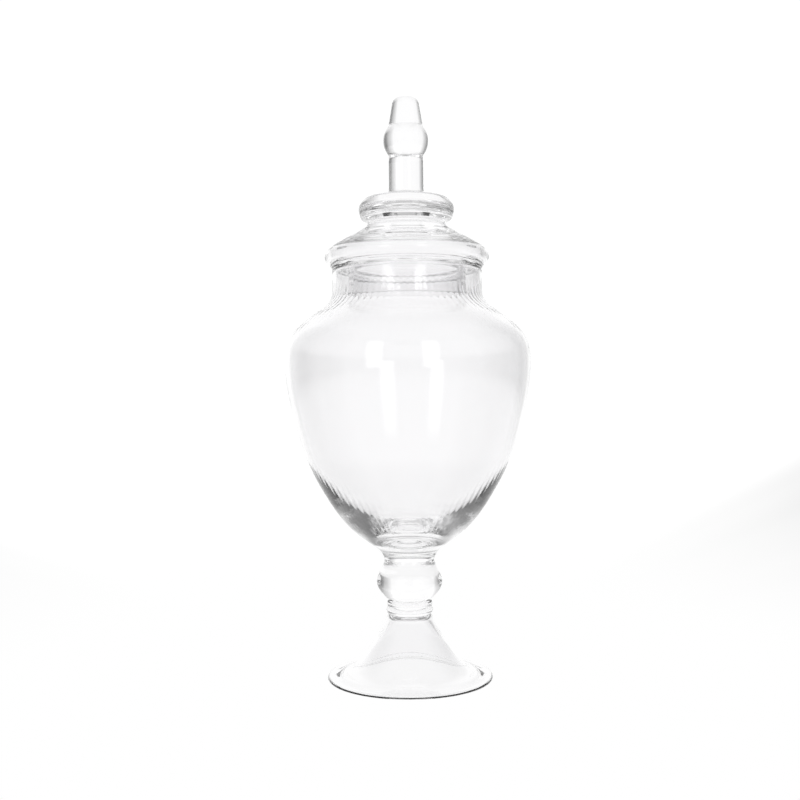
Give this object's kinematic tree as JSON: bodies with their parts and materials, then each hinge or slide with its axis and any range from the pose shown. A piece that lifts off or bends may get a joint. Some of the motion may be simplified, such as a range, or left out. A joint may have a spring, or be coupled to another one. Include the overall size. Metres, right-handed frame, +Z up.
{
  "type": "apothecary jar",
  "caption": "Clear glass footed apothecary jar: ribbed ovoid bowl on a knopped stem and trumpet foot, with a lift-off domed lid and turned finial.",
  "frame": {"origin": "centre of the foot's resting face, on the jar's axis, at table height", "axes": "+Z up along the axis of the jar, which is also its longest dimension; the jar is round, so X and Y are free, and the view of the order looks along +Y"},
  "size_m": [0.2018, 0.2018, 0.4784],
  "materials": {
    "clear_glass": "clear, fire-polished",
    "ribbed_glass": "clear, fire-polished, with fine upright optic ribs",
    "lid_glass": "clear, fire-polished"
  },
  "bodies": {
    "jar": {"foot": "clear_glass", "lower_stem_bead": "clear_glass", "upper_stem_bead": "clear_glass", "stem_knop": "clear_glass", "bowl": "ribbed_glass"},
    "lid": {"lid_dome": "lid_glass", "lid_plug": "lid_glass", "lid_ring": "lid_glass", "finial": "lid_glass"}
  },
  "joints": [
    {"name": "lid_lift", "type": "slide", "parent": "jar", "child": "lid", "axis": [0, 0, 1], "range_m": [0, 0.18]}
  ]
}
